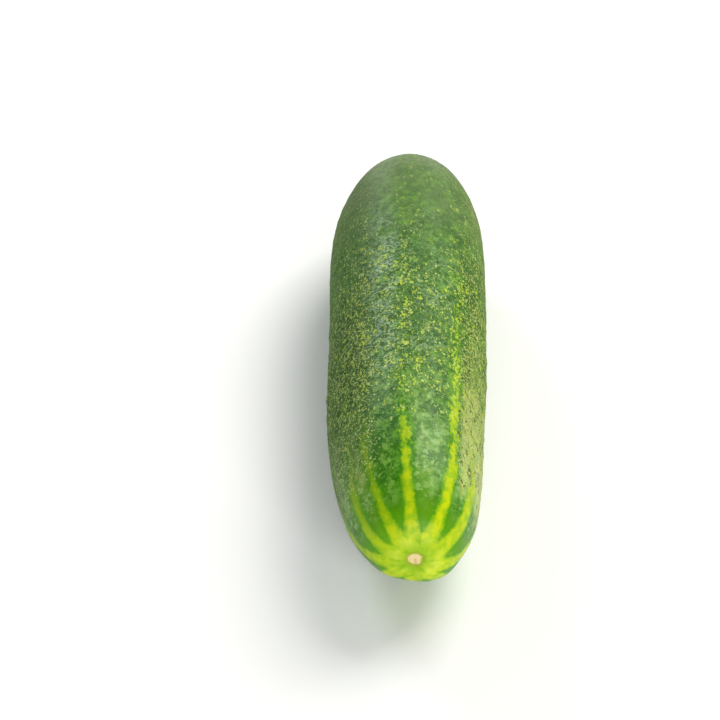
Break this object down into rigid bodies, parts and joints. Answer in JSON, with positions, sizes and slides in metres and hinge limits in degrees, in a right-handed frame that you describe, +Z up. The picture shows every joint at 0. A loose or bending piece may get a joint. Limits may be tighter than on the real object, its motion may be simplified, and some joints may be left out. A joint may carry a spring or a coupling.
{
  "type": "cucumber",
  "caption": "Whole fresh cucumber lying on its side, with a pale-striped rounded blossom end, a tapered stem end and a short cut stem stub.",
  "frame": {"origin": "middle of the underside of the bounding box, on the surface that the cucumber lies on", "axes": "+Z up; +Y along the fruit, from the blossom end towards the stem; +X to the right, seen from the blossom end"},
  "size_m": [0.0506, 0.2092, 0.0497],
  "materials": {
    "cucumber_skin": "waxy satin green skin, low warts, pale yellow-green stripes from the blossom end",
    "cut_stem": "matte ridged green stalk with a dry pale cut face"
  },
  "bodies": {
    "root": {"fruit": "cucumber_skin", "stem_stub": "cut_stem"}
  },
  "joints": []
}
